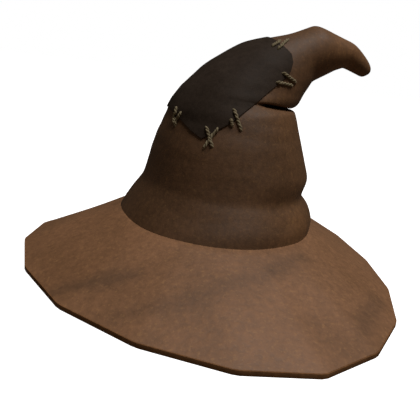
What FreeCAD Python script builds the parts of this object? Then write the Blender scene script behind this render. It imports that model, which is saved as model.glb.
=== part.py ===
import FreeCAD, Part
import math
import os
import Sketcher

# A bent, patched cone hat with a wide polygonal brim, in millimetres.
# Z is up and the brim's edge stands on the plane Z = 0. The origin is the centre of the head
# opening on that plane. The wearer faces -Y, and the cone folds over towards +X, so its bend
# lies in the XZ plane and both hinge axes run along Y.

Vector = FreeCAD.Vector
doc = FreeCAD.newDocument("BentHat")
sheet = doc.addObject("Spreadsheet::Sheet", "Dimensions")


def put_dimension(alias, value):
    """Write one driving dimension in the next free row of the sheet, under its own alias."""
    put_dimension.row += 1
    sheet.set(f"A{put_dimension.row}", alias)
    sheet.set(f"B{put_dimension.row}", str(value))
    sheet.setAlias(f"B{put_dimension.row}", alias)


put_dimension.row = 0


def cell(alias):
    """The expression that reads one cell of the sheet."""
    return f"Dimensions.{alias}"


# ---------------------------------------------------------------- driving dimensions

BRIM_LAYERS = ("brim_under_layer", "brim_interlining", "brim_top_layer")

BRIM_AND_BAND = {
    "cloth_thickness": 1.05,        # each of the brim's three layers
    "binding_thickness": 0.85,      # the strip that covers the brim's edge
    "layer_scale": 0.9955,          # the layers' outline stops inside the binding
    "binding_inner_scale": 0.964,   # the inner border of the binding
    "hoop_scale": 0.977,            # the edge wire's outline
    "hoop_height": 1.45,
    "hoop_diameter": 1.2,
    "crown_seat_level": 47.1,       # the brim's collar, which the crown is sewn to
    "rim_level": 4.0,               # the brim's top surface at its edge
    "head_hole_inset": 8.0,         # from the crown's outside to the head opening
    "seat_half_width": 100.8,       # the crown's foot, along X
    "seat_half_depth": 108.9,       # the crown's foot, along Y
    "mound_depth": 5.0,             # how far the brim's building solids reach under the floor
    "band_thickness": 2.0,
    "band_foot_level": 42.6,
    "tape_inset": 3.8,
    "tape_width": 2.0,
    "tape_thickness": 1.0,
}

CROWN_SHEETS = {
    "shell_thickness": 3.0,
    "lining_inset": 6.2,            # the lining hangs clear of the shell, and the wire lies between
    "lining_thickness": 0.8,
    "patch_thickness": 1.6,
    "patch_back": 14.0,             # how far the patch wraps behind the bend plane
    "patch_front": -130.0,
    "patch_slit": 2.6,              # the slit in the patch along the fold
    "wire_inset": 4.6,
    "wire_diameter": 1.8,
    "fold_gap": 0.4,
    "slab_reach": 200.0,            # a cutting slab this far to each side clears the whole hat
    "thread_diameter": 2.4,
    "thread_lift": 3.7,             # the thread's middle above the crown, clear of the patch
}

# Corners of the brim's outline, anticlockwise from the wearer's right.
BRIM_CORNERS = (
    (-182, 65), (-197, 11), (-188, -60), (-154, -132), (-96, -190), (-29, -226),
    (35, -233), (91, -207), (136, -160), (167, -94), (183, -19), (186, 64),
    (175, 155), (130, 198), (62, 222), (-8, 220), (-70, 186),
)

# Sections of the crown. Each is an oval across the bend plane, from an outer point (x, z) on
# the long side of the bend to an inner point (x, z) on its short side, with a half depth in Y.
LOWER_SECTIONS = {
    "roll": (-98.5, 52, 102.5, 58, 106.5),
    "roll_top": (-90, 67, 97, 72, 99),
    "crease": (-80.5, 82, 87, 81.5, 89),
    "belly": (-77, 97, 93, 98.5, 90),
    "middle": (-70.5, 127, 80.5, 131, 79),
    "shoulder": (-61, 155.5, 68.5, 164, 67.5),
    "shoulder_top": (-58.5, 163, 66, 165, 64),
    "fold": (-47, 178, 61.5, 165.5, 59),
}
UPPER_SECTIONS = {
    "lip": (-30.5, 197.5, 69.5, 169, 53),
    "cone": (6.5, 223.5, 75.5, 181, 41.5),
    "cone_top": (56.5, 240, 83, 194.5, 28),
    "cone_end": (74, 247.5, 94.5, 200.5, 27),
}
TIP_SECTIONS = {
    "tip_start": (87, 248.5, 107, 208, 24),
    "tip_middle": (127, 238, 118.5, 213, 14.5),
    "tip_end": (147.5, 217.5, 138, 208, 7.5),
    "tip_nose": (147, 212.5, 142, 207.5, 4),
}
# The hollow of the tip stops short of its closed end.
TIP_HOLLOW_END = {"tip_hollow": (139, 226, 128.5, 212, 10.5)}

# The patch's outline as cut, seen from the front (x, z). It runs past the crown's outer
# side, where the patch wraps over to the back.
PATCH_CORNERS = (
    (-75, 170), (-55, 145), (-46.5, 140.5), (-37, 135), (-25, 145.5), (-14, 153.5),
    (-2, 164), (12, 171.5), (31, 183.5), (45.5, 202), (48, 212), (46, 219),
    (39, 225.5), (33, 245), (-40, 240),
)

# Each stitch: its two ends, seen from the front (x, z, x, z).
LOWER_STITCHES = (
    (-57, 157, -58.5, 144), (-54, 153.5, -57.5, 142), (-36, 147, -29, 134.5),
    (-29, 149, -38, 131), (-19, 158.5, -17.5, 151.5), (-16, 163, -11, 151),
)
UPPER_STITCHES = (
    (38, 200.5, 52, 194), (32, 192, 48, 190.5), (34, 222.5, 46, 231.5), (29, 223, 38, 229.5),
)

SECTION_PARTS = ("outer_x", "outer_z", "inner_x", "inner_z", "half_depth")


def fill_sheet():
    """Write every driving dimension into the sheet."""
    for group in (BRIM_AND_BAND, CROWN_SHEETS):
        for alias, value in group.items():
            put_dimension(alias, value)
    for number, (x, y) in enumerate(BRIM_CORNERS, 1):
        put_dimension(f"corner_{number:02d}_x", x)
        put_dimension(f"corner_{number:02d}_y", y)
    for number, (x, z) in enumerate(PATCH_CORNERS, 1):
        put_dimension(f"patch_{number:02d}_x", x)
        put_dimension(f"patch_{number:02d}_z", z)
    for sections in (LOWER_SECTIONS, UPPER_SECTIONS, TIP_SECTIONS, TIP_HOLLOW_END):
        for name, values in sections.items():
            for part, value in zip(SECTION_PARTS, values):
                put_dimension(f"{name}_{part}", value)
    doc.recompute()


# ---------------------------------------------------------------- small builders

def named(kind, name, **properties):
    """A new object whose Label is its name, with its plain properties set."""
    item = doc.addObject(kind, name)
    item.Label = name
    for key, value in properties.items():
        setattr(item, key, value)
    return item


def loft(name, sections):
    return named("Part::Loft", name, Sections=sections, Solid=True, Ruled=True)


def cut(name, base, tool):
    return named("Part::Cut", name, Base=base, Tool=tool)


def polygon_sketch(name, corners, closed=True):
    """A sketch of straight edges. Every corner is held by two expressions, across and up."""
    sketch = named("Sketcher::SketchObject", name)
    # The values solved first only need to give every edge a length.
    start = [
        Vector(math.cos(math.tau * k / len(corners)), math.sin(math.tau * k / len(corners)), 0)
        for k in range(len(corners))
    ]
    edges = len(corners) if closed else len(corners) - 1
    for k in range(edges):
        sketch.addGeometry(Part.LineSegment(start[k], start[(k + 1) % len(corners)]), False)
    for k in range(edges if closed else edges - 1):
        sketch.addConstraint(Sketcher.Constraint("Coincident", k, 2, (k + 1) % edges, 1))
    for k, (across, up) in enumerate(corners):
        edge, end = (k, 1) if k < edges else (k - 1, 2)
        for kind, expression in (("DistanceX", across), ("DistanceY", up)):
            value = float(sheet.evalExpression(expression))
            number = sketch.addConstraint(Sketcher.Constraint(kind, -1, 1, edge, end, value))
            sketch.setExpression(f"Constraints[{number}]", expression)
    return sketch


# ---------------------------------------------------------------- the brim

def rim_corners(scale):
    """The brim's outline, drawn smaller by a scale."""
    return [
        (f"Dimensions.corner_{k:02d}_x * {scale}", f"Dimensions.corner_{k:02d}_y * {scale}")
        for k in range(1, len(BRIM_CORNERS) + 1)
    ]


def seat_corners():
    """Points of the crown's oval foot that lie in line with the brim's corners."""
    corners = []
    for k in range(1, len(BRIM_CORNERS) + 1):
        x = f"Dimensions.corner_{k:02d}_x"
        y = f"Dimensions.corner_{k:02d}_y"
        reach = (
            f"sqrt(({x} / Dimensions.seat_half_width)^2 + ({y} / Dimensions.seat_half_depth)^2)"
        )
        corners.append((f"{x} / {reach}", f"{y} / {reach}"))
    return corners


def level_polygon(name, corners, level):
    sketch = polygon_sketch(name, corners)
    sketch.setExpression("Placement.Base.z", level)
    return sketch


def head_hole(name):
    """The oval through the brim that the head goes into."""
    oval = named("Part::Ellipse", name + "_oval")
    oval.setExpression("MajorRadius", "Dimensions.seat_half_depth - Dimensions.head_hole_inset")
    oval.setExpression("MinorRadius", "Dimensions.seat_half_width - Dimensions.head_hole_inset")
    oval.Placement.Rotation = FreeCAD.Rotation(Vector(0, 0, 1), 90)
    prism = named("Part::Extrusion", name, Base=oval, Dir=Vector(0, 0, 1), Solid=True)
    prism.setExpression("LengthFwd", "Dimensions.crown_seat_level * 2")
    return prism


def brim_mound(number, floor):
    """All that lies under surface number 0 to 3 of the stack of three layers."""
    drop = f"{len(BRIM_LAYERS) - number} * Dimensions.cloth_thickness"
    rim = level_polygon(
        f"rim_{number}", rim_corners("Dimensions.layer_scale"), f"Dimensions.rim_level - {drop}"
    )
    seat = level_polygon(f"seat_{number}", seat_corners(), f"Dimensions.crown_seat_level - {drop}")
    return loft(f"mound_{number}", [floor, rim, seat])


def make_brim():
    """Three layers of cloth, the binding round their edge and the wire inside it."""
    floor = level_polygon("rim_floor", rim_corners("Dimensions.layer_scale"), "-Dimensions.mound_depth")
    mounds = [brim_mound(number, floor) for number in range(len(BRIM_LAYERS) + 1)]
    layers = []
    for number, name in enumerate(BRIM_LAYERS):
        blank = cut(name + "_blank", mounds[number + 1], mounds[number])
        layers.append(cut(name, blank, head_hole(name + "_hole")))

    outline = polygon_sketch("binding_outline", rim_corners("1"))
    block = named(
        "Part::Extrusion", "binding_block", Base=outline, Dir=Vector(0, 0, 1), Solid=True
    )
    block.setExpression("LengthFwd", "Dimensions.rim_level")
    inside = polygon_sketch("binding_inside", rim_corners("Dimensions.binding_inner_scale"))
    core = named("Part::Extrusion", "binding_core", Base=inside, Dir=Vector(0, 0, 1), Solid=True)
    core.setExpression("LengthFwd", "Dimensions.crown_seat_level")
    stack = cut("brim_stack", mounds[-1], mounds[0])
    under_layers = cut("binding_under_layers", block, stack)
    hollow_binding = cut("binding_ring", under_layers, core)
    hoop = make_hoop("brim_hoop_wire")
    binding = cut("brim_edge_binding", hollow_binding, hoop)
    return layers + [binding, hoop]


def make_hoop(name):
    """The wire that keeps the brim's edge in shape."""
    path = level_polygon(
        name + "_path", rim_corners("Dimensions.hoop_scale"), cell("hoop_height")
    )
    first = "Dimensions.corner_01_x", "Dimensions.corner_01_y"
    following = "Dimensions.corner_02_x", "Dimensions.corner_02_y"
    section = named("Part::Circle", name + "_section")
    section.setExpression("Radius", "Dimensions.hoop_diameter / 2")
    section.setExpression(
        "Placement",
        f"placement(vector({first[0]} * Dimensions.hoop_scale; "
        f"{first[1]} * Dimensions.hoop_scale; Dimensions.hoop_height); "
        f"rotation(atan2({following[1]} - {first[1]}; {following[0]} - {first[0]}); 90; 0))",
    )
    return sweep(name, section, path)


def sweep(name, section, path):
    return named(
        "Part::Sweep", name, Sections=[section], Spine=(path, []), Solid=True,
        Transition="Right corner",
    )


# ---------------------------------------------------------------- the crown

def section_oval(name, section, inset, lift="0"):
    """A crown section drawn smaller all round by an inset, and lifted off its own plane."""
    outer_x, outer_z, inner_x, inner_z, half_depth = (
        f"Dimensions.{section}_{part}" for part in SECTION_PARTS
    )
    run = f"({inner_x} - {outer_x})"
    rise = f"({inner_z} - {outer_z})"
    chord = f"sqrt({run}^2 + {rise}^2)"
    oval = named("Part::Ellipse", name)
    oval.setExpression("MajorRadius", f"{half_depth} - {inset}")
    oval.setExpression("MinorRadius", f"{chord} / 2 - {inset}")
    oval.setExpression(
        "Placement",
        f"placement(vector(({outer_x} + {inner_x}) / 2 - {lift} * {rise} / {chord}; 0; "
        f"({outer_z} + {inner_z}) / 2 + {lift} * {run} / {chord}); "
        f"rotation(90; 0; -atan2({rise}; {run})))",
    )
    return oval


def foot_oval(name, inset, level="Dimensions.crown_seat_level"):
    """The crown's oval foot, drawn smaller all round by an inset."""
    oval = named("Part::Ellipse", name)
    oval.setExpression("MajorRadius", f"Dimensions.seat_half_depth - {inset}")
    oval.setExpression("MinorRadius", f"Dimensions.seat_half_width - {inset}")
    oval.setExpression("Placement", f"placement(vector(0; 0; {level}); rotation(90; 0; 0))")
    return oval


def stacked_core(name, ovals):
    """A solid through a row of ovals, made of one straight-sided length between each two."""
    lengths = [
        loft(f"{name}_length_{k}", ovals[k:k + 2]) for k in range(len(ovals) - 1)
    ]
    if len(lengths) == 1:
        return lengths[0]
    return named("Part::MultiFuse", name, Shapes=lengths)


def lower_core(name, inset):
    """The lower crown as a solid, from the brim to the fold."""
    ovals = [foot_oval(name + "_foot", inset)]
    ovals += [section_oval(f"{name}_{key}", key, inset) for key in LOWER_SECTIONS]
    return stacked_core(name, ovals)


def upper_core(name, inset):
    """The upper cone as a solid. It starts a small gap above the fold."""
    ovals = [section_oval(name + "_fold", "fold", inset, cell("fold_gap"))]
    ovals += [section_oval(f"{name}_{key}", key, inset) for key in UPPER_SECTIONS]
    return stacked_core(name, ovals)


def tip_core(name, inset, sections):
    return stacked_core(name, [section_oval(f"{name}_{key}", key, inset) for key in sections])


def hollow(name, core, outside, inside):
    """A sheet of even thickness, cut from two solids of the same form."""
    return cut(name, core(name + "_outside", outside), core(name + "_inside", inside))


def lining_insets():
    return cell("lining_inset"), "(Dimensions.lining_inset + Dimensions.lining_thickness)"


def make_sweatband():
    """The leather band that goes round the head, from the head opening up to the roll's top."""
    def band_core(name, inset):
        ovals = [foot_oval(name + "_foot", inset, cell("band_foot_level"))]
        ovals.append(foot_oval(name + "_seat", inset))
        ovals += [section_oval(f"{name}_{key}", key, inset) for key in ("roll", "roll_top")]
        return stacked_core(name, ovals)

    inset = cell("head_hole_inset")
    return hollow("sweatband", band_core, inset, f"({inset} + Dimensions.band_thickness)")


def make_seam_tape():
    """The tape over the seam between crown and brim, inside the hat."""
    def tape_core(name, inset):
        prism = named(
            "Part::Extrusion", name, Base=foot_oval(name + "_oval", inset),
            Dir=Vector(0, 0, 1), Solid=True,
        )
        prism.setExpression("LengthFwd", cell("tape_thickness"))
        return prism

    inset = cell("tape_inset")
    return hollow("base_seam_tape", tape_core, inset, f"({inset} + Dimensions.tape_width)")


def make_crown():
    """Leather shells, their linings, the sweatband and the tape over the seam."""
    no_inset, shell = "0", cell("shell_thickness")
    lining = lining_insets()
    tip_outside = tip_core("crown_tip_outside", no_inset, TIP_SECTIONS)
    tip_inside = tip_core("crown_tip_inside", shell, ("tip_start", "tip_middle", "tip_hollow"))
    return [
        hollow("crown_lower_shell", lower_core, no_inset, shell),
        hollow("crown_upper_shell", upper_core, no_inset, shell),
        cut("crown_tip_shell", tip_outside, tip_inside),
        hollow("crown_lower_lining", lower_core, *lining),
        hollow("crown_upper_lining", upper_core, *lining),
        make_sweatband(),
        make_seam_tape(),
    ]


# ---------------------------------------------------------------- the shape wire

def wire_point(section):
    """A point just inside the shell, on the long side of the bend."""
    outer_x, outer_z, inner_x, inner_z, _ = (
        f"Dimensions.{section}_{part}" for part in SECTION_PARTS
    )
    chord = f"sqrt(({inner_x} - {outer_x})^2 + ({inner_z} - {outer_z})^2)"
    return tuple(
        f"{start} + Dimensions.wire_inset * ({end} - {start}) / {chord}"
        for start, end in ((outer_x, inner_x), (outer_z, inner_z))
    )


def make_wire(name, sections):
    """A length of the wire that holds the bent cone, lying between shell and lining."""
    points = [wire_point(section) for section in sections]
    path = polygon_sketch(name + "_path", points, closed=False)
    path.Placement.Rotation = FreeCAD.Rotation(Vector(1, 0, 0), 90)
    (x1, z1), (x2, z2) = points[:2]
    section = named("Part::Circle", name + "_section")
    section.setExpression("Radius", "Dimensions.wire_diameter / 2")
    section.setExpression(
        "Placement",
        f"placement(vector({x1}; 0; {z1}); "
        f"rotation(0; 90 deg - atan2(({z2}) - ({z1}); ({x2}) - ({x1})); 0))",
    )
    return sweep(name, section, path)


def make_wires():
    lower = ("roll_top", "crease", "belly", "middle", "shoulder", "shoulder_top", "fold")
    return [
        make_wire("shape_wire_lower", lower),
        make_wire("shape_wire_upper", ("lip", "cone", "cone_top", "cone_end")),
        make_wire("shape_wire_tip", ("tip_start", "tip_middle")),
    ]


# ---------------------------------------------------------------- the patch and its stitches

def make_patch(name, core, blank):
    """The part of the patch that lies on one length of the crown."""
    skin = hollow(name + "_skin", core, "-Dimensions.patch_thickness", "0")
    trimmed = named("Part::Common", name + "_trimmed", Base=skin, Tool=blank)
    slit = named("Part::Box", name + "_slit")
    slit.setExpression("Length", "Dimensions.slab_reach * 2")
    slit.setExpression("Width", "Dimensions.slab_reach * 2")
    slit.setExpression("Height", cell("patch_slit"))
    fold = {part: f"Dimensions.fold_{part}" for part in SECTION_PARTS}
    slope = (
        f"atan2({fold['inner_z']} - {fold['outer_z']}; {fold['inner_x']} - {fold['outer_x']})"
    )
    # The slit is a slab along the fold's plane, centred on it.
    slit.setExpression(
        "Placement",
        f"placement(vector({fold['outer_x']}; 0; {fold['outer_z']}); "
        f"rotation(0; -{slope}; 0)) * placement(vector(-Dimensions.slab_reach; "
        f"-Dimensions.slab_reach; -Dimensions.patch_slit / 2); rotation(0; 0; 0))",
    )
    return cut(name, trimmed, slit)


def make_patches():
    corners = [
        (f"Dimensions.patch_{k:02d}_x", f"Dimensions.patch_{k:02d}_z")
        for k in range(1, len(PATCH_CORNERS) + 1)
    ]
    outline = polygon_sketch("patch_outline", corners)
    outline.Placement.Rotation = FreeCAD.Rotation(Vector(1, 0, 0), 90)
    outline.setExpression("Placement.Base.y", cell("patch_back"))
    blank = named("Part::Extrusion", "patch_blank", Base=outline, Dir=Vector(0, -1, 0), Solid=True)
    blank.setExpression("LengthFwd", "Dimensions.patch_back - Dimensions.patch_front")
    return [
        make_patch("patch_lower", lower_core, blank),
        make_patch("patch_upper", upper_core, blank),
    ]


def lay_on(core, x, z, lift):
    """The point of a core's front surface at (x, z), lifted straight off that surface."""
    ray = Part.makeLine(Vector(x, -sheet.get("slab_reach"), z), Vector(x, 0, z))
    inside = core.common(ray)
    front = Vector(x, min(vertex.Point.y for vertex in inside.Vertexes), z)
    face = min(core.Faces, key=lambda side: side.distToShape(Part.Vertex(front))[0])
    across, along = face.Surface.parameter(front)
    return front + face.normalAt(across, along) * lift


def make_stitches(name, core, stitches):
    """Coarse straight stitches over the patch's edge, as one group of rods."""
    lift = sheet.get("thread_lift")
    radius = sheet.get("thread_diameter") / 2
    rods = []
    for x1, z1, x2, z2 in stitches:
        start = lay_on(core, x1, z1, lift)
        end = lay_on(core, x2, z2, lift)
        rods.append(Part.makeCylinder(radius, (end - start).Length, start, end - start))
    group = named("Part::Feature", name)
    group.Shape = Part.makeCompound(rods)
    group.Placement = FreeCAD.Placement()
    return group


# ---------------------------------------------------------------- build, check and write

def check(parts):
    """Stop if any object failed, or if a part is empty or not a sound solid."""
    for item in doc.Objects:
        if {"Invalid", "Error"} & set(item.State):
            raise RuntimeError(f"{item.Label} did not build: {item.State}")
    for part in parts:
        shape = part.Shape
        if shape.isNull() or not shape.isValid() or not shape.Solids:
            raise RuntimeError(f"{part.Label} is not a sound solid")
        box = shape.BoundBox
        print(
            f"{part.Label:22s} solids {len(shape.Solids):2d} volume {shape.Volume:10.1f} mm3"
            f"  x {box.XMin:.1f}..{box.XMax:.1f} y {box.YMin:.1f}..{box.YMax:.1f}"
            f" z {box.ZMin:.1f}..{box.ZMax:.1f}"
        )


def write(parts):
    os.makedirs("parts", exist_ok=True)
    for part in parts:
        part.Shape.exportStep(f"parts/{part.Label}.step")


fill_sheet()
parts = make_brim() + make_crown() + make_wires() + make_patches()
doc.recompute()
parts.append(make_stitches(
    "patch_stitches_lower", doc.getObject("crown_lower_shell_outside").Shape, LOWER_STITCHES
))
parts.append(make_stitches(
    "patch_stitches_upper", doc.getObject("crown_upper_shell_outside").Shape, UPPER_STITCHES
))
check(parts)
write(parts)
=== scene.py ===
# %% [markdown]
# # A patched hat with a folded cone
#
# The hat is brown suede-like hide. It has a wide brim with straight-cut sides and a tall cone
# that is folded over to one side, and a nearly black patch is sewn over the fold with coarse
# thread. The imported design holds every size. This lesson builds the soft, finished surfaces
# around it: the cone is a stack of hoops joined into a skin, the patch is cut from a copy of
# that skin, and the brim is a set of loops that run from its cut edge in to the cone.

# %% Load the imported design, which stays as it is
import math

import bmesh
import bpy
from mathutils import Matrix, Vector, noise
from mathutils.bvhtree import BVHTree


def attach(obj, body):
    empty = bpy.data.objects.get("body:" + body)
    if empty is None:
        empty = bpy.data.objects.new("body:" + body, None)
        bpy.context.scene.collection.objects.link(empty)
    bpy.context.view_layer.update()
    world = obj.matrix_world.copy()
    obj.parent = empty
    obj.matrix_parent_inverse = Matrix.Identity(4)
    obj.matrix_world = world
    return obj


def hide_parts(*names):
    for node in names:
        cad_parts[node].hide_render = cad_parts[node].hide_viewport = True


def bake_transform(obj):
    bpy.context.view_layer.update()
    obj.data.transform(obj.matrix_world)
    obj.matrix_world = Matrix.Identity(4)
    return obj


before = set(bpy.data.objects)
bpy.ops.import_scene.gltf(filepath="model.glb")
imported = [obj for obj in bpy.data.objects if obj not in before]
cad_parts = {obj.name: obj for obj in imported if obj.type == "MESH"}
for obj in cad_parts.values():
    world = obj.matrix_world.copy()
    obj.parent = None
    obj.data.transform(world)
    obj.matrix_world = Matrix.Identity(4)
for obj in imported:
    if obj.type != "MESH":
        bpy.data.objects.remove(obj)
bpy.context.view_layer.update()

MM = 0.001
scene = bpy.context.scene

# %% [markdown]
# ## View and light
#
# The camera stands a little to the wearer's right, above the brim, and is tipped sideways, so
# the hat seems to lean. A large soft lamp hangs high to the front right: the brim faces it and
# is the brightest part, while the left of the cone falls into shade. The floor is pale and
# doesn't throw its light back on the hat, as over a stage covered with dull paper.

# %% Camera, lamps, sky and floor
LOOK_FROM = Vector((-0.1332, -0.5120, 0.2064))
LOOK_BACK = Vector((-0.231839, -0.929856, 0.285688))
CAMERA_ROLL = math.radians(7.1)
CAMERA_ANGLE = math.radians(45)


def make_camera():
    data = bpy.data.cameras.new("camera")
    data.angle = CAMERA_ANGLE
    data.clip_start = 0.01
    camera = bpy.data.objects.new("camera", data)
    scene.collection.objects.link(camera)
    upright = LOOK_BACK.to_track_quat("Z", "Y").to_matrix()
    turned = upright @ Matrix.Rotation(CAMERA_ROLL, 3, "Z")
    camera.matrix_world = Matrix.Translation(LOOK_FROM) @ turned.to_4x4()
    scene.camera = camera


def make_lamp(name, place, target, size, watts, colour):
    """A square soft lamp that faces its target."""
    data = bpy.data.lights.new(name, "AREA")
    data.size = size
    data.energy = watts
    data.color = colour
    lamp = bpy.data.objects.new(name, data)
    scene.collection.objects.link(lamp)
    place = Vector(place)
    facing = (place - Vector(target)).to_track_quat("Z", "Y").to_matrix().to_4x4()
    lamp.matrix_world = Matrix.Translation(place) @ facing


def make_sky(brightness):
    """A white room for the camera, and a dim grey one for the light on the hat."""
    world = bpy.data.worlds.new("pale_room")
    world.use_nodes = True
    nodes, links = world.node_tree.nodes, world.node_tree.links
    nodes.clear()
    seen = nodes.new("ShaderNodeBackground")
    seen.inputs["Color"].default_value = (1, 1, 1, 1)
    seen.inputs["Strength"].default_value = 1.0
    lighting = nodes.new("ShaderNodeBackground")
    lighting.inputs["Color"].default_value = (1.0, 0.84, 0.66, 1)
    lighting.inputs["Strength"].default_value = brightness
    path = nodes.new("ShaderNodeLightPath")
    mix = nodes.new("ShaderNodeMixShader")
    out = nodes.new("ShaderNodeOutputWorld")
    links.new(path.outputs["Is Camera Ray"], mix.inputs[0])
    links.new(lighting.outputs[0], mix.inputs[1])
    links.new(seen.outputs[0], mix.inputs[2])
    links.new(mix.outputs[0], out.inputs["Surface"])
    scene.world = world


def make_floor():
    bpy.ops.object.select_all(action="DESELECT")
    bpy.ops.mesh.primitive_plane_add(size=12, location=(0, 0, 0))
    floor = bpy.context.object
    floor.name = "floor"
    material = bpy.data.materials.new("floor_paper")
    material.use_nodes = True
    shader = material.node_tree.nodes["Principled BSDF"]
    shader.inputs["Base Color"].default_value = (0.9, 0.9, 0.9, 1)
    shader.inputs["Roughness"].default_value = 1.0
    shader.inputs["Specular IOR Level"].default_value = 0.0
    shader.inputs["Emission Color"].default_value = (1, 1, 1, 1)
    shader.inputs["Emission Strength"].default_value = 0.93
    floor.data.materials.append(material)
    floor.visible_diffuse = False
    floor.visible_glossy = False


make_camera()
make_lamp("key_lamp", (0.6, -0.75, 2.9), (0, 0, 0.08), 1.2, 60, (1.0, 0.98, 0.96))
make_sky(0.085)
make_floor()
scene.view_settings.view_transform = "Standard"
print("camera at", tuple(round(v, 3) for v in LOOK_FROM))

# %% [markdown]
# ## Tools for a skin made of hoops
#
# A tailor shapes a cone over hoops. Here each hoop is a circle that is added flat, pulled to
# its oval, tipped and left in place. Neighbouring hoops are then bridged with faces. Every
# hoop has the same number of points, which start at the back of the hat, so point number k of
# hoop number j is always vertex j * points + k.

# %% Helpers that start, select and finish a piece
def start_piece(name):
    """An empty piece, open in edit mode with nothing else selected."""
    bpy.ops.object.select_all(action="DESELECT")
    piece = bpy.data.objects.new(name, bpy.data.meshes.new(name))
    scene.collection.objects.link(piece)
    open_piece(piece)
    return piece


def open_piece(piece):
    if bpy.context.object and bpy.context.object.mode == "EDIT":
        bpy.ops.object.mode_set(mode="OBJECT")
    bpy.ops.object.select_all(action="DESELECT")
    piece.select_set(True)
    bpy.context.view_layer.objects.active = piece
    bpy.ops.object.mode_set(mode="EDIT")
    bpy.context.tool_settings.mesh_select_mode = (True, False, False)


def close_piece():
    bpy.ops.object.mode_set(mode="OBJECT")


def pick(piece, wanted):
    """Select just the vertices whose number is wanted, and the edges between them."""
    mesh = bmesh.from_edit_mesh(piece.data)
    for part in (*mesh.faces, *mesh.edges, *mesh.verts):
        part.select_set(False)
    for vertex in mesh.verts:
        if wanted(vertex.index):
            vertex.select_set(True)
    for edge in mesh.edges:
        if edge.verts[0].select and edge.verts[1].select:
            edge.select_set(True)
    bmesh.update_edit_mesh(piece.data)


def add_hoop(section, points, inset=0.0):
    """One tipped oval. The section is (outer x, outer z, inner x, inner z, half depth) in mm."""
    outer_x, outer_z, inner_x, inner_z, half_depth = section
    run, rise = inner_x - outer_x, inner_z - outer_z
    centre = Vector(((outer_x + inner_x) / 2, 0, (outer_z + inner_z) / 2)) * MM
    width = math.hypot(run, rise) / 2 - inset / MM
    depth = half_depth - inset / MM
    bpy.ops.mesh.primitive_circle_add(vertices=points, radius=MM, location=centre)
    bpy.ops.transform.resize(value=(width, depth, 1), center_override=centre)
    # Without a window this operator turns the other way, so the slope's sign is kept.
    bpy.ops.transform.rotate(
        value=math.atan2(rise, run), orient_axis="Y", center_override=centre
    )


def add_loop(places):
    """One closed loop whose points are put where they belong."""
    piece = bpy.context.object
    bpy.ops.mesh.primitive_circle_add(vertices=len(places), radius=1)
    mesh = bmesh.from_edit_mesh(piece.data)
    mesh.verts.ensure_lookup_table()
    first = len(mesh.verts) - len(places)
    for number, place in enumerate(places):
        mesh.verts[first + number].co = place
    bmesh.update_edit_mesh(piece.data)


def bridge_all(piece, loops, points, ring=False):
    """Join each loop to the next with faces, and the last to the first for a ring."""
    bpy.context.tool_settings.mesh_select_mode = (False, True, False)
    pairs = [(k, k + 1) for k in range(loops - 1)]
    if ring:
        pairs.append((loops - 1, 0))
    for pair in pairs:
        pick(piece, lambda index: index // points in pair)
        bpy.ops.mesh.bridge_edge_loops()
    bpy.context.tool_settings.mesh_select_mode = (True, False, False)


def face_outwards(piece):
    bpy.ops.mesh.select_all(action="SELECT")
    bpy.ops.mesh.normals_make_consistent(inside=False)


def apply_modifier(piece, kind, **settings):
    """Add one modifier, set it up and apply it."""
    bpy.ops.object.select_all(action="DESELECT")
    piece.select_set(True)
    bpy.context.view_layer.objects.active = piece
    modifier = piece.modifiers.new(kind.lower(), kind)
    for key, value in settings.items():
        setattr(modifier, key, value)
    bpy.ops.object.modifier_apply(modifier=modifier.name)


def smooth(piece, degrees=50):
    bpy.ops.object.select_all(action="DESELECT")
    piece.select_set(True)
    bpy.context.view_layer.objects.active = piece
    bpy.ops.object.shade_smooth_by_angle(angle=math.radians(degrees))


def report(piece):
    box = [Vector(corner) for corner in piece.bound_box]
    low = [round(min(c[k] for c in box) / MM, 1) for k in range(3)]
    high = [round(max(c[k] for c in box) / MM, 1) for k in range(3)]
    print(f"{piece.name}: {len(piece.data.polygons)} faces, {low} to {high} mm")


print("tools ready")

# %% [markdown]
# ## The cone's hide
#
# The cone is one soft skin. It stands on the brim in a fat roll, is pinched at a crease, swells,
# and narrows to a shoulder where it is folded over. Above the fold it bends down again to a
# blunt tip. The fold is a real tuck: on its short side the hide runs in between shoulder and
# lip and comes out again, so there is leather to let out when the cone is pulled upright.

# %% Sections of the cone, along its length
HOOP_POINTS = 64
HOOP_STEP = 9.0
TIP_STEP = 7.0
HIDE_THICKNESS = 2.2 * MM
TUCK_SHARE = 0.45

# Each section is (outer x, outer z, inner x, inner z, half depth) in millimetres.
FOOT = (-100.8, 47.1, 100.8, 47.1, 108.9)
LOWER_CONE = [
    FOOT,
    (-98.5, 52, 102.5, 58, 106.5),
    (-90, 67, 97, 72, 98),
    (-80.5, 82, 87, 81.5, 90.5),
    (-77, 97, 93, 98.5, 87.5),
    (-70.5, 127, 80.5, 131, 79),
    (-61, 155.5, 68.5, 164, 67.5),
]
SHOULDER = [
    (-58.5, 163, 66, 165, 64),
    (-49.5, 175, 61.8, 165.3, 60),
]
TUCK = [
    (-48.2, 176.6, 61.2, 165.5, 59.5),
    (-46.6, 178.5, 61.2, 165.7, 59.1),
]
LIP = [
    (-45.2, 180.2, 61.8, 165.9, 58.7),
    (-37.5, 189, 66, 167.4, 56),
    (-30.5, 197.5, 69.7, 169.2, 53),
]
UPPER_CONE = [
    (6.5, 223.5, 75.5, 181, 41.5),
    (56.5, 240, 83, 194.5, 28),
]
TIP_BEND = [
    (74, 247.5, 94.5, 200.5, 27),
    (79.5, 250.3, 100.5, 203.7, 26),
    (87, 248.5, 107, 208, 24),
]
TIP = [
    (127, 238, 118.5, 213, 14.5),
    (145.5, 222, 134.5, 208.8, 9),
    (149.4, 215.5, 139.3, 206.9, 6.6),
    (149.2, 211.6, 142.2, 206.6, 3.8),
]


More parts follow.
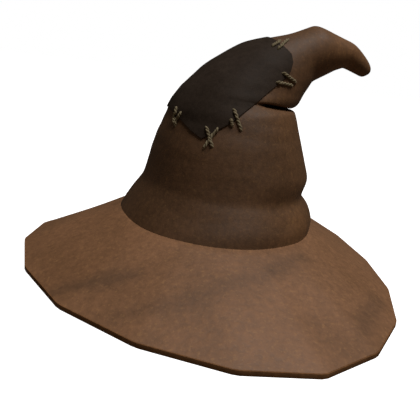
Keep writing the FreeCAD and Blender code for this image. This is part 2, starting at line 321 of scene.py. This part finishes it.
def spread(sections, step=HOOP_STEP):
    """The sections with enough more between them that hoops stand about a step apart."""
    hoops = []
    for first, second in zip(sections, sections[1:]):
        gaps = [math.dist(first[k:k + 2], second[k:k + 2]) for k in (0, 2)]
        count = max(1, round(sum(gaps) / 2 / step))
        for number in range(count):
            share = number / count
            hoops.append(tuple(a + (b - a) * share for a, b in zip(first, second)))
    return hoops + [sections[-1]]


def tuck_in(piece, hoop, section, points, share):
    """Pull one hoop in towards its middle, most of all on the short side of the bend."""
    outer_x, outer_z, inner_x, inner_z, _ = section
    centre = Vector(((outer_x + inner_x) / 2, 0, (outer_z + inner_z) / 2)) * MM
    reach = Vector((inner_x - outer_x, 0, inner_z - outer_z)) * MM / 2
    mesh = bmesh.from_edit_mesh(piece.data)
    for vertex in mesh.verts:
        if vertex.index // points == hoop:
            out = vertex.co - centre
            side = min(1.0, max(0.0, out.dot(reach) / reach.length_squared / 0.8))
            vertex.co = centre + out * (1 - share * side * side * (3 - 2 * side))
    bmesh.update_edit_mesh(piece.data)


def cone_skin(name, hoops, tucks, inset=0.0, closed=False, points=HOOP_POINTS):
    """A skin over hoops. The tucks say which hoops are pulled in, and how far."""
    piece = start_piece(name)
    for section in hoops:
        add_hoop(section, points, inset)
    for section, share in tucks:
        tuck_in(piece, hoops.index(section), section, points, share)
    bridge_all(piece, len(hoops), points)
    if closed:
        pick(piece, lambda index: index // points == len(hoops) - 1)
        bpy.ops.mesh.edge_face_add()
        bpy.ops.mesh.poke()
    face_outwards(piece)
    close_piece()
    report(piece)
    return piece


below_tuck = spread(LOWER_CONE + SHOULDER[:1]) + SHOULDER[1:]
above_tuck = LIP[:2] + spread(LIP[2:] + UPPER_CONE)
tip_hoops = spread(UPPER_CONE[-1:] + TIP_BEND + TIP[:1], TIP_STEP)[1:] + TIP[1:]
crown_hide = cone_skin(
    "crown_hide", below_tuck + TUCK + above_tuck + tip_hoops,
    [(section, TUCK_SHARE) for section in TUCK], closed=True,
)

# %% [markdown]
# ## Rounding and creasing the hide
#
# Subdivision turns the hoops into a smooth skin. Real hide isn't that even: it has shallow
# dents a few fingers wide and small wrinkles that run round the cone, strongest near a fold.
# Both are moved into the mesh along its own normals, by noise that is the same every time.

# %% Smooth, dent and wrinkle the skins
DENT_DEPTH = 1.3 * MM
DENT_WIDTH = 46 * MM
WRINKLE_DEPTH = 0.45 * MM
WRINKLE_HEIGHT = 9 * MM
WRINKLE_LENGTH = 48 * MM
FOLD_PLACE = Vector((20, 0, 167)) * MM
FOLD_SPREAD = 30 * MM


def dented(place, normal, strength=1.0):
    """Where a point of the hide goes when the hide is dented and wrinkled."""
    dent = noise.noise(place / DENT_WIDTH) * DENT_DEPTH
    across = Vector((
        place.x / WRINKLE_LENGTH, place.y / WRINKLE_LENGTH, place.z / WRINKLE_HEIGHT
    ))
    near_fold = math.exp(-((place.z - FOLD_PLACE.z) / FOLD_SPREAD) ** 2)
    wrinkle = noise.noise(across) * WRINKLE_DEPTH * (0.5 + near_fold)
    return place + normal * (dent + wrinkle) * strength


def wrinkle_piece(piece):
    mesh = piece.data
    places = [dented(vertex.co.copy(), vertex.normal.copy()) for vertex in mesh.vertices]
    for vertex, place in zip(mesh.vertices, places):
        vertex.co = place
    mesh.update()


apply_modifier(crown_hide, "SUBSURF", levels=2, render_levels=2)
wrinkle_piece(crown_hide)
report(crown_hide)

# %% [markdown]
# ## The seam below the tip
#
# The tip is a cut of its own, sewn on where the cone starts to bend down. Both cuts come from
# the one skin, so the surface runs on over the seam.

# %% Cut the skin in two at the seam
TIP_CENTRE = Vector((69.75, 0, 217.25)) * MM
TIP_NORMAL = Vector((0.864, 0, 0.503))


def copy_piece(piece, name):
    """A copy with a mesh of its own."""
    twin = piece.copy()
    twin.data = piece.data.copy()
    twin.name = name
    scene.collection.objects.link(twin)
    return twin


def trim(piece, *cuts):
    """Cut a piece along planes, and drop what lies on the outer side of each."""
    open_piece(piece)
    for place, outwards in cuts:
        bpy.ops.mesh.select_all(action="SELECT")
        bpy.ops.mesh.bisect(plane_co=place, plane_no=outwards, clear_outer=True)
    close_piece()
    report(piece)


tip_hide = copy_piece(crown_hide, "tip_hide")
trim(tip_hide, (TIP_CENTRE, -TIP_NORMAL))
trim(crown_hide, (TIP_CENTRE, TIP_NORMAL))

# %% [markdown]
# ## The patch
#
# The patch is cut from a copy of the cone's skin, so it lies on every dent of the hide below
# it. Straight cuts give its outline as seen from the front, and one more ends it behind the
# fold. It is then lifted a little off the hide.

# %% Cut the patch out of a copy of the skin
PATCH_LIFT = 0.15 * MM
PATCH_THICKNESS = 1.2 * MM
PATCH_BACK = 16 * MM

# The outline seen from the front, in millimetres (x, z), anticlockwise.
PATCH_OUTLINE = [
    (-75, 168), (-46, 140.5), (-35.5, 134.2), (-14, 151.8), (31, 184), (45, 202), (48, 211),
    (46.5, 218.5), (38, 226), (20, 240),
]


def lift(piece, distance):
    """Move every point of a skin out along its own normal."""
    for vertex, normal in [(v, v.normal.copy()) for v in piece.data.vertices]:
        vertex.co += normal * distance
    piece.data.update()


patch = copy_piece(crown_hide, "patch_hide")
patch_cuts = [(Vector((0, PATCH_BACK, 0)), Vector((0, 1, 0)))]
for (x1, z1), (x2, z2) in zip(PATCH_OUTLINE, PATCH_OUTLINE[1:]):
    patch_cuts.append((Vector((x1, 0, z1)) * MM, Vector((z2 - z1, 0, x1 - x2)).normalized()))
trim(patch, *patch_cuts)
lift(patch, PATCH_LIFT)

# %% [markdown]
# ## Coarse stitches
#
# Ten thick stitches hold the patch, some of them crossed. Each is two strands twisted round
# each other. A stitch comes out of the leather, lies over the patch's edge and goes back in,
# so its line is found by looking at the skins from the front. The patch gets its own thickness
# first, so that the stitches lie on it.

# %% Lay twisted thread over the patch's edge
STITCH_SAMPLES = 36
STRAND_RADIUS = 1.0 * MM
STRAND_SPACING = 0.7 * MM
STRAND_TWIST = 3.0
STITCH_OVERRUN = 0.12
STITCH_DEPTH = 1.6 * MM
STITCH_RISE = 0.9 * MM
STITCH_STEEPNESS = 3.5
IN_FRONT = -300

# The two ends of each stitch, seen from the front in millimetres: x, z and x, z.
STITCHES = [
    (-57, 157, -58.5, 144), (-54, 153.5, -57.5, 142), (-33.5, 145.5, -28.5, 131.5),
    (-25, 145.5, -34.5, 129), (-13.5, 155.5, -11.8, 150.5), (-10.5, 163.5, -4.2, 148.5),
    (38, 200.5, 52, 194), (32, 192, 48, 190.5), (34, 222.5, 46, 231.5), (29, 224, 38, 229.5),
]


def skin_tree(*pieces):
    """A search tree over the faces of some pieces."""
    places, faces = [], []
    for piece in pieces:
        first = len(places)
        places += [vertex.co.copy() for vertex in piece.data.vertices]
        faces += [[first + k for k in face.vertices] for face in piece.data.polygons]
    return BVHTree.FromPolygons(places, faces)


def stitch_line(tree, ends):
    """The middle line of a stitch and the skin's normal at each of its points."""
    x1, z1, x2, z2 = ends
    places, normals = [], []
    for number in range(STITCH_SAMPLES):
        share = number / (STITCH_SAMPLES - 1)
        over = share * (1 + 2 * STITCH_OVERRUN) - STITCH_OVERRUN
        start = Vector((x1 + (x2 - x1) * over, IN_FRONT, z1 + (z2 - z1) * over)) * MM
        place, normal, _, _ = tree.ray_cast(start, Vector((0, 1, 0)))
        rise = min(1.0, math.sin(math.pi * share) * STITCH_STEEPNESS)
        places.append(place + normal * (rise * (STITCH_DEPTH + STITCH_RISE) - STITCH_DEPTH))
        normals.append(normal)
    return relaxed(places), relaxed(normals)


def relaxed(points, rounds=4):
    """Points drawn towards their neighbours, with both ends kept."""
    for _ in range(rounds):
        middle = [(a + b * 2 + c) / 4 for a, b, c in zip(points, points[1:], points[2:])]
        points = [points[0]] + middle + [points[-1]]
    return points


def strand(places, normals, phase):
    """One of the strands that wind round a stitch's middle line."""
    line = []
    for number, (place, normal) in enumerate(zip(places, normals)):
        before = places[max(0, number - 1)]
        after = places[min(len(places) - 1, number + 1)]
        side = (after - before).normalized().cross(normal.normalized())
        turn = phase + math.tau * STRAND_TWIST * number / len(places)
        away = side * math.cos(turn) + normal.normalized() * math.sin(turn)
        line.append(place + away * STRAND_SPACING)
    return line


def tube(name, line, radius, sides=2):
    """A round rod with closed ends along a line, made from a path."""
    bpy.ops.object.select_all(action="DESELECT")
    bpy.ops.curve.primitive_nurbs_path_add()
    rod = bpy.context.object
    rod.name = name
    rod.data.splines.clear()
    path = rod.data.splines.new("POLY")
    path.points.add(len(line) - 1)
    for point, place in zip(path.points, line):
        point.co = (*place, 1)
    rod.data.bevel_depth = radius
    rod.data.bevel_resolution = sides
    rod.data.use_fill_caps = True
    bpy.ops.object.convert(target="MESH")
    bpy.ops.object.mode_set(mode="EDIT")
    bpy.ops.mesh.select_all(action="SELECT")
    bpy.ops.mesh.remove_doubles(threshold=0.001 * MM)
    bpy.ops.object.mode_set(mode="OBJECT")
    return bpy.context.object


def join_all(pieces, name):
    """Several pieces as one mesh with its origin at the frame's origin."""
    bpy.ops.object.select_all(action="DESELECT")
    for piece in pieces:
        piece.select_set(True)
    bpy.context.view_layer.objects.active = pieces[0]
    bpy.ops.object.join()
    pieces[0].name = name
    return pieces[0]


apply_modifier(patch, "SOLIDIFY", thickness=PATCH_THICKNESS, offset=1)
apply_modifier(patch, "BEVEL", width=0.35 * MM, segments=2, limit_method="ANGLE",
               angle_limit=math.radians(50))
skins = skin_tree(crown_hide, patch)
strands = []
for ends in STITCHES:
    places, normals = stitch_line(skins, ends)
    for phase in (0, math.pi):
        strands.append(tube("strand", strand(places, normals, phase), STRAND_RADIUS))
stitches = join_all(strands, "patch_stitches")
report(stitches)

# %% [markdown]
# ## The brim
#
# The brim's outline has seventeen straight sides whose corners are just taken off. It rises
# from its cut edge to the foot of the cone and goes on flat to the head opening. Two hides and
# a stiffening layer between them lie on each other, so one function makes all three, each a
# little lower than the one above. A narrow strip is folded under their edge.

# %% Three layers from the cut edge to the head opening
SIDE_POINTS = 12
BRIM_RINGS = 14
RIM_LEVEL = 4.4 * MM
SEAT_LEVEL = 47.1 * MM
SEAT_WIDTH = 100.8 * MM
SEAT_DEPTH = 108.9 * MM
HOLE_INSET = 8 * MM
COLLAR_FALL = 0.3 * MM
LAYER_THICKNESS = 1.05 * MM
LAYER_SCALE = 0.9955
WAVE_HEIGHT = 1.6 * MM
WAVE_WIDTH = 90 * MM

# Corners of the outline in millimetres, anticlockwise from the wearer's right.
BRIM_CORNERS = [
    (-182, 65), (-197, 11), (-188, -60), (-154, -132), (-96, -190), (-29, -226),
    (35, -233), (91, -207), (136, -160), (167, -94), (183, -19), (186, 64),
    (175, 155), (130, 198), (62, 222), (-8, 220), (-70, 186),
]


def rim_points(scale=1.0):
    """Points along every side of the outline, which leave out the corners themselves."""
    points = []
    for start, end in zip(BRIM_CORNERS, BRIM_CORNERS[1:] + BRIM_CORNERS[:1]):
        for number in range(SIDE_POINTS):
            share = (number + 0.5) / SIDE_POINTS
            points.append(Vector((*start, 0)).lerp(Vector((*end, 0)), share) * MM * scale)
    return points


def on_seat(point, inset=0.0):
    """The point of the cone's oval foot in the same direction, moved in by an inset."""
    reach = math.hypot(point.x / (SEAT_WIDTH - inset), point.y / (SEAT_DEPTH - inset))
    return point / reach


def brim_place(point, share, drop):
    """A place on the brim, from its edge at share 0 to the cone's foot at share 1."""
    place = point.lerp(on_seat(point), share)
    wave = noise.noise(Vector((place.x, place.y, 0)) / WAVE_WIDTH) * WAVE_HEIGHT
    place.z = RIM_LEVEL + (SEAT_LEVEL - RIM_LEVEL) * share - drop
    place.z += wave * math.sin(math.pi * share)
    return place


def brim_layer(name, layer):
    """One layer of the brim. Layer 0 is the upper hide, and each next one lies below it."""
    drop = layer * LAYER_THICKNESS
    outline = rim_points(LAYER_SCALE)
    piece = start_piece(name)
    for ring in range(BRIM_RINGS + 1):
        add_loop([brim_place(point, ring / BRIM_RINGS, drop) for point in outline])
    for share in (0.5, 1.0):
        level = Vector((0, 0, SEAT_LEVEL - drop - COLLAR_FALL * share))
        add_loop([on_seat(point, HOLE_INSET * share) + level for point in outline])
    bridge_all(piece, BRIM_RINGS + 3, len(outline))
    face_outwards(piece)
    close_piece()
    if piece.data.polygons[0].normal.z < 0:
        piece.data.flip_normals()
    apply_modifier(piece, "SOLIDIFY", thickness=LAYER_THICKNESS, offset=-1)
    report(piece)
    return piece


brim_top = brim_layer("brim_top_hide", 0)
brim_core = brim_layer("brim_stiffening", 1)
brim_under = brim_layer("brim_under_hide", 2)

# %% The strip round the edge, and other rings of one section
EDGE_SECTION = [
    (0.9, 4.38), (0.15, 4.4), (0.03, 4.35), (0.0, 4.2), (0.0, 0.4), (0.1, 0.1), (0.5, 0.0),
    (6.2, 0.1), (6.9, 0.5), (7.1, 3.7), (0.9, 1.22),
]
TAPE_SECTION = [(3.8, 47.1), (3.9, 48.1), (5.7, 48.2), (5.8, 47.2)]


def ring_piece(name, section, outline, move_in):
    """A closed ring. Its section is a list of (inset, level) in millimetres."""
    piece = start_piece(name)
    for inset, level in section:
        add_loop([move_in(point, inset * MM) + Vector((0, 0, level)) * MM for point in outline])
    bridge_all(piece, len(section), len(outline), ring=True)
    face_outwards(piece)
    close_piece()
    report(piece)
    return piece


edge_strip = ring_piece(
    "brim_edge_strip", EDGE_SECTION, rim_points(),
    lambda point, inset: point * (1 - inset / point.length),
)
seam_tape = ring_piece("seam_tape", TAPE_SECTION, rim_points(), on_seat)

# %% [markdown]
# ## Inside the hat
#
# A thin lining hangs in soft upright folds inside the cone, tucked in where the hide is. The
# sweatband is a strip of smooth leather that stands in the head opening. A row of small
# stitches runs round its foot.

# %% Lining, sweatband and its stitches
LINING_INSET = 6.3 * MM
LINING_THICKNESS = 0.7 * MM
LINING_FOLDS = 17
LINING_FOLD_DEPTH = 1.0 * MM
LINING_UNEVEN_WIDTH = 60 * MM
LINING_UNEVEN_TURN = 2.5
BAND_THICKNESS = 1.9 * MM
BAND_FOOT = (-100.8, 42.7, 100.8, 42.7, 108.9)
BAND_STITCHES = 96
BAND_STITCH_LEVEL = 45.6 * MM
BAND_STITCH_RADIUS = 0.45 * MM


def fold_cloth(piece):
    """Soft upright folds: the skin moves in and out as it goes round, in uneven steps."""
    for vertex, normal in [(v, v.normal.copy()) for v in piece.data.vertices]:
        place = vertex.co
        around = math.atan2(place.y, place.x - FOLD_PLACE.x)
        uneven = noise.noise(place / LINING_UNEVEN_WIDTH) * LINING_UNEVEN_TURN
        vertex.co -= normal * (math.sin(around * LINING_FOLDS + uneven) + 1) * LINING_FOLD_DEPTH
    piece.data.update()


# The lining hangs free round the tuck: sections as above, each with how far it is pulled in.
LINING_WAIST = [
    ((-59, 158, 60, 157, 64), 0.25),
    ((-51, 171, 58, 160, 60), 0.62),
    ((-46.5, 178.5, 58, 165.7, 58.5), 0.62),
    ((-42, 184, 58, 171.5, 57), 0.62),
    ((-33, 194, 62, 175.5, 54), 0.25),
]

lining_hoops = (
    spread(LOWER_CONE[:-1]) + [section for section, _ in LINING_WAIST] + spread(UPPER_CONE)
)
lining = cone_skin(
    "lining_cloth", lining_hoops, LINING_WAIST, inset=LINING_INSET, closed=True, points=96
)
fold_cloth(lining)
apply_modifier(lining, "SUBSURF", levels=1, render_levels=1)
apply_modifier(lining, "SOLIDIFY", thickness=LINING_THICKNESS, offset=-1)

sweatband = cone_skin(
    "sweatband_leather", [BAND_FOOT] + spread(LOWER_CONE[:3]), [], inset=HOLE_INSET, points=96
)
apply_modifier(sweatband, "SOLIDIFY", thickness=BAND_THICKNESS, offset=-1)
apply_modifier(sweatband, "BEVEL", width=0.5 * MM, segments=2, limit_method="ANGLE",
               angle_limit=math.radians(60))


def band_stitch(number):
    """One small stitch on the inner face of the sweatband, just above the brim."""
    line = []
    for share, rise in ((0.15, -0.4), (0.3, 0.35), (0.5, 0.5), (0.7, 0.35), (0.85, -0.4)):
        angle = math.tau * (number + share) / BAND_STITCHES
        inset = HOLE_INSET + BAND_THICKNESS + rise * MM
        place = on_seat(Vector((math.cos(angle), math.sin(angle), 0)), inset)
        line.append(place + Vector((0, 0, BAND_STITCH_LEVEL)))
    return tube("band_stitch", line, BAND_STITCH_RADIUS, 1)


band_stitches = join_all([band_stitch(k) for k in range(BAND_STITCHES)], "sweatband_stitches")
report(band_stitches)

# %% [markdown]
# ## Giving the hides their thickness
#
# The patch and the stitches were laid on the bare skins of the cone. Now these get the
# thickness of soft leather on their inner side, and every piece is shaded smooth except at
# real edges.

# %% Thicken and smooth
for hide in (crown_hide, tip_hide):
    apply_modifier(hide, "SOLIDIFY", thickness=HIDE_THICKNESS, offset=-1)
finished = [
    crown_hide, tip_hide, patch, stitches, brim_top, brim_core, brim_under, edge_strip,
    seam_tape, lining, sweatband, band_stitches,
]
for piece in finished:
    smooth(piece)
    report(piece)

# %% [markdown]
# ## Suede, leather, cloth and thread
#
# Suede is matt and uneven: it has cloudy darker and lighter places, small lighter flecks, and
# brush marks that run up and down. One node group makes all of that from the piece's own
# coordinates, and each kind of hide gives it other colours. Darker streaks on the brim, and
# painted highlights that lighten the cone where it faces the lamp, are attributes that are
# worked out from where they lie.

# %% A node group for brushed hide
def new_group(name, inputs, outputs):
    """A node group with typed sockets. Returns the group, its input and its output node."""
    group = bpy.data.node_groups.new(name, "ShaderNodeTree")
    for way, sockets in (("INPUT", inputs), ("OUTPUT", outputs)):
        for label, kind in sockets:
            group.interface.new_socket(name=label, in_out=way, socket_type=f"NodeSocket{kind}")
    return group, group.nodes.new("NodeGroupInput"), group.nodes.new("NodeGroupOutput")


def add_noise(group, vector, scale, detail=3.0, roughness=0.6):
    node = group.nodes.new("ShaderNodeTexNoise")
    node.inputs["Scale"].default_value = scale
    node.inputs["Detail"].default_value = detail
    node.inputs["Roughness"].default_value = roughness
    group.links.new(vector, node.inputs["Vector"])
    return node.outputs["Fac"]


def add_ramp(group, value, low, high, top=1.0):
    """The value from low to high, spread over 0 to top."""
    node = group.nodes.new("ShaderNodeMapRange")
    for label, number in (("From Min", low), ("From Max", high), ("To Max", top)):
        node.inputs[label].default_value = number
    group.links.new(value, node.inputs["Value"])
    return node.outputs["Result"]


def add_mix(group, share, first, second, blend="MIX"):
    """A colour mix. Each of share, first and second is a socket or a plain value."""
    node = group.nodes.new("ShaderNodeMix")
    node.data_type = "RGBA"
    node.blend_type = blend
    for number, value in ((0, share), (6, first), (7, second)):
        if isinstance(value, bpy.types.NodeSocket):
            group.links.new(value, node.inputs[number])
        else:
            node.inputs[number].default_value = value
    return node.outputs[2]


def add_math(group, operation, first, second):
    node = group.nodes.new("ShaderNodeMath")
    node.operation = operation
    for number, value in enumerate((first, second)):
        if isinstance(value, bpy.types.NodeSocket):
            group.links.new(value, node.inputs[number])
        else:
            node.inputs[number].default_value = value
    return node.outputs[0]


def make_hide_group():
    group, given, out = new_group(
        "brushed_hide",
        [("Vector", "Vector"), ("Dark", "Color"), ("Light", "Color"), ("Fleck", "Color"),
         ("Streaked", "Float"), ("Painted_Highlight", "Float"), ("Brushed", "Float"), ("Matt", "Float")],
        [("Base Color", "Color"), ("Roughness", "Float"), ("Height", "Float")],
    )
    vector = given.outputs["Vector"]
    clouds = add_ramp(group, add_noise(group, vector, 17, 4), 0.36, 0.64)
    grain = add_noise(group, vector, 190, 4, 0.7)
    flecks = add_ramp(group, add_noise(group, vector, 330, 2), 0.56, 0.72, 0.35)
    stretch = group.nodes.new("ShaderNodeMapping")
    stretch.inputs["Scale"].default_value = (1, 1, 0.06)
    group.links.new(vector, stretch.inputs["Vector"])
    brush = add_ramp(group, add_noise(group, stretch.outputs[0], 420, 2), 0.35, 0.7)
    brush = add_math(group, "MULTIPLY", brush, given.outputs["Brushed"])

    colour = add_mix(group, clouds, given.outputs["Dark"], given.outputs["Light"])
    shade = add_mix(
        group, add_ramp(group, grain, 0.25, 0.75), (0.3, 0.3, 0.3, 1), (1.7, 1.7, 1.7, 1)
    )
    colour = add_mix(group, 0.35, colour, shade, "MULTIPLY")
    colour = add_mix(group, flecks, colour, given.outputs["Fleck"])
    colour = add_mix(group, brush, colour, (0.5, 0.5, 0.5, 1), "MULTIPLY")
    # Darker streaks on the brim, from their attribute.
    colour = add_mix(group, given.outputs["Streaked"], colour, (0.42, 0.44, 0.46, 1), "MULTIPLY")
    # Painted highlight: the colour itself is lightened where the cone faces the lamp.
    colour = add_mix(group, given.outputs["Painted_Highlight"], colour, (1.75, 1.7, 1.55, 1), "MULTIPLY")
    group.links.new(colour, out.inputs["Base Color"])
    group.links.new(add_ramp(group, grain, 0.2, 0.8, 0.3), out.inputs["Height"])
    uneven = add_ramp(group, grain, 0.2, 0.8, 0.12)
    group.links.new(add_math(group, "ADD", uneven, given.outputs["Matt"]), out.inputs["Roughness"])
    return group


hide_group = make_hide_group()


def new_material(name):
    material = bpy.data.materials.new(name)
    material.use_nodes = True
    return material, material.node_tree, material.node_tree.nodes["Principled BSDF"]


def add_bump(tree, height, shader, distance, strength=1.0):
    bump = tree.nodes.new("ShaderNodeBump")
    bump.inputs["Distance"].default_value = distance
    bump.inputs["Strength"].default_value = strength
    tree.links.new(height, bump.inputs["Height"])
    tree.links.new(bump.outputs[0], shader.inputs["Normal"])


def hide_material(name, dark, light, fleck, brushed=0.0, marks=None, specular=0.4,
                  rough=0.75, bump=0.6):
    """Suede or leather in given colours. Marks names the attribute of darker streaks or of painted
    highlights, where it has them.
    """
    material, tree, shader = new_material(name)
    place = tree.nodes.new("ShaderNodeTexCoord")
    surface = tree.nodes.new("ShaderNodeGroup")
    surface.node_tree = hide_group
    tree.links.new(place.outputs["Object"], surface.inputs["Vector"])
    for label, colour in (("Dark", dark), ("Light", light), ("Fleck", fleck)):
        surface.inputs[label].default_value = (*colour, 1)
    surface.inputs["Brushed"].default_value = brushed
    surface.inputs["Matt"].default_value = rough
    if marks:
        share = tree.nodes.new("ShaderNodeAttribute")
        share.attribute_name = marks.lower()
        tree.links.new(share.outputs["Fac"], surface.inputs[marks])
    for label in ("Base Color", "Roughness"):
        tree.links.new(surface.outputs[label], shader.inputs[label])
    add_bump(tree, surface.outputs["Height"], shader, bump * MM)
    shader.inputs["Specular IOR Level"].default_value = specular
    return material


materials = {
    "brim": hide_material("brim_suede", (0.195, 0.090, 0.036), (0.245, 0.115, 0.050),
                          (0.40, 0.205, 0.075), marks="Streaked", specular=0.62, rough=0.55),
    "under": hide_material("under_suede", (0.10, 0.053, 0.026), (0.15, 0.083, 0.043),
                           (0.22, 0.12, 0.055)),
    # The cone's suede takes painted highlights from its attribute.
    "crown": hide_material("crown_suede", (0.090, 0.042, 0.016), (0.125, 0.060, 0.025),
                           (0.22, 0.115, 0.04), brushed=0.3, marks="Painted_Highlight", specular=0.4,
                           rough=0.58),
    "edge": hide_material("edge_leather", (0.175, 0.080, 0.031), (0.230, 0.108, 0.045),
                          (0.30, 0.15, 0.065), specular=0.15),
    "patch": hide_material("patch_leather", (0.029, 0.020, 0.014), (0.041, 0.029, 0.0215),
                           (0.055, 0.041, 0.032), specular=0.07, rough=0.55),
    "band": hide_material("band_leather", (0.11, 0.055, 0.025), (0.15, 0.078, 0.036),
                          (0.18, 0.10, 0.05), specular=0.5, bump=0.2),
}

# %% Cloth, thread and wire
def cloth_material(name, dark, light, threads):
    """Plain weave: two sets of threads, crossed, in uneven colour."""
    material, tree, shader = new_material(name)
    place = tree.nodes.new("ShaderNodeTexCoord")
    waves = []
    for direction in ("X", "Z"):
        wave = tree.nodes.new("ShaderNodeTexWave")
        wave.bands_direction = direction
        wave.inputs["Scale"].default_value = threads
        wave.inputs["Distortion"].default_value = 0.6
        tree.links.new(place.outputs["Object"], wave.inputs["Vector"])
        waves.append(wave.outputs["Fac"])
    weave = add_math(tree, "MULTIPLY", *waves)
    clouds = add_ramp(tree, add_noise(tree, place.outputs["Object"], 30), 0.3, 0.7)
    colour = add_mix(tree, clouds, (*dark, 1), (*light, 1))
    lit = add_mix(tree, 1.0, colour, (1.5, 1.5, 1.5, 1), "MULTIPLY")
    colour = add_mix(tree, weave, colour, lit)
    tree.links.new(colour, shader.inputs["Base Color"])
    add_bump(tree, weave, shader, 0.15 * MM)
    shader.inputs["Roughness"].default_value = 0.9
    return material


def thread_material(name, dark, light):
    """Waxed yarn: fine fibres over an uneven colour."""
    material, tree, shader = new_material(name)
    place = tree.nodes.new("ShaderNodeTexCoord")
    fibres = add_noise(tree, place.outputs["Object"], 900, 2)
    clouds = add_ramp(tree, add_noise(tree, place.outputs["Object"], 140), 0.3, 0.7)
    colour = add_mix(tree, clouds, (*dark, 1), (*light, 1))
    tree.links.new(colour, shader.inputs["Base Color"])
    add_bump(tree, fibres, shader, 0.3 * MM)
    shader.inputs["Roughness"].default_value = 0.85
    shader.inputs["Specular IOR Level"].default_value = 0.2
    return material


def wire_material(name):
    """Bright drawn steel with faint stains."""
    material, tree, shader = new_material(name)
    place = tree.nodes.new("ShaderNodeTexCoord")
    stains = add_ramp(tree, add_noise(tree, place.outputs["Object"], 120), 0.3, 0.7)
    tree.links.new(
        add_mix(tree, stains, (0.32, 0.31, 0.30, 1), (0.52, 0.51, 0.50, 1)),
        shader.inputs["Base Color"],
    )
    shader.inputs["Metallic"].default_value = 1.0
    shader.inputs["Roughness"].default_value = 0.35
    return material


materials.update({
    "lining": cloth_material("lining_weave", (0.028, 0.018, 0.012), (0.045, 0.03, 0.02), 500),
    "tape": cloth_material("tape_weave", (0.12, 0.09, 0.06), (0.17, 0.13, 0.09), 700),
    "felt": cloth_material("stiffening_weave", (0.10, 0.08, 0.06), (0.14, 0.11, 0.085), 300),
    "thread": thread_material("patch_yarn", (0.19, 0.155, 0.09), (0.26, 0.215, 0.135)),
    "fine_thread": thread_material("fine_yarn", (0.14, 0.10, 0.06), (0.2, 0.15, 0.09)),
    "wire": wire_material("wire_steel"),
})

# %% Darker streaks on the brim and painted highlights on the cone
STREAK_WIDTH = 8 * MM
STREAK_UNEVEN_WIDTH = 25 * MM

# Painted highlights where the cone faces the lamp, in millimetres: centre, width, and how light.
PAINTED_HIGHLIGHT_SPOTS = [
    ((114, -16, 231), 45, 1.0), ((38, -48, 156), 30, 0.45), ((66, -82, 64), 30, 0.65),
    ((68, -56, 110), 36, 0.3),
]

# Each darker streak: its two ends on the brim in millimetres, and how dark it is.
DARK_STREAKS = [
    ((-160, -114), (-92, -121), 0.6), ((-62, -163), (20, -135), 0.45),
    ((15, -137), (58, -109), 0.6), ((88, -183), (131, -133), 0.55),
    ((-110, -160), (-40, -165), 0.3),
]


def dark_streak(place, start, end, strength):
    """How dark a streak is at a place: full on its middle line, less to its sides."""
    start, end = (Vector((*point, 0)) * MM for point in (start, end))
    flat = Vector((place.x, place.y, 0))
    along = (flat - start).dot(end - start) / (end - start).length_squared
    nearest = start.lerp(end, min(1.0, max(0.0, along)))
    width = STREAK_WIDTH * (1 + 0.6 * noise.noise(flat / STREAK_UNEVEN_WIDTH))
    return strength * math.exp(-((flat - nearest).length / width) ** 2)


def painted_highlight(place, centre, width, strength):
    """How light a painted highlight is at a place: full in its middle, less outwards."""
    distance = (place - Vector(centre) * MM).length / (width * MM)
    return strength * math.exp(-distance * distance)


def mark_piece(piece, name, share, spots):
    """Store at every point the strongest of the given marks."""
    attribute = piece.data.attributes.new(name, "FLOAT", "POINT")
    for vertex in piece.data.vertices:
        attribute.data[vertex.index].value = max(share(vertex.co, *spot) for spot in spots)


mark_piece(brim_top, "streaked", dark_streak, DARK_STREAKS)
# The cone and the tip get painted highlights where they face the lamp.
for hide in (crown_hide, tip_hide):
    mark_piece(hide, "painted_highlight", painted_highlight, PAINTED_HIGHLIGHT_SPOTS)

# %% [markdown]
# ## What rides on what
#
# The cone's fold and the bend of its tip are the two places that move. The pieces that cross
# one of them are only set in place and dressed here. The other pieces stay with the brim.

# Each piece: its material, its slot, and the nodes of the design that it stands for.
ON_THE_CROWN = [
    (brim_top, "brim", "brim_leather", ["brim_top_layer"]),
    (brim_core, "felt", "interlining", ["brim_interlining"]),
    (brim_under, "under", "brim_underside_leather", ["brim_under_layer"]),
    (edge_strip, "edge", "edge_leather", ["brim_edge_binding"]),
    (seam_tape, "tape", "tape_cloth", ["base_seam_tape"]),
    (sweatband, "band", "sweatband_leather", ["sweatband"]),
    (band_stitches, "fine_thread", "sweatband_leather", []),
]
OVER_THE_FOLD = [
    (crown_hide, "crown", "crown_leather", ["crown_lower_shell", "crown_upper_shell"]),
    (lining, "lining", "lining_cloth", ["crown_lower_lining", "crown_upper_lining"]),
    (patch, "patch", "patch_leather", ["patch_lower", "patch_upper"]),
    (stitches, "thread", "patch_thread", ["patch_stitches_lower", "patch_stitches_upper"]),
]


def dress(piece, material, slot, nodes):
    """Give a piece its material, and hide the nodes that it stands for. The slot is not used."""
    piece.data.materials.clear()
    piece.data.materials.append(materials[material])
    if nodes:
        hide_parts(*nodes)


for piece, *looks in ON_THE_CROWN:
    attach(piece, "crown")
    dress(piece, *looks)
for piece, *looks in OVER_THE_FOLD:
    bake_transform(piece)
    dress(piece, *looks)
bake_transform(tip_hide)
dress(tip_hide, "crown", "crown_leather", ["crown_tip_shell"])

for name in ("brim_hoop_wire", "shape_wire_lower", "shape_wire_upper", "shape_wire_tip"):
    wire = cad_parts[name]
    wire.data.materials.clear()
    wire.data.materials.append(materials["wire"])
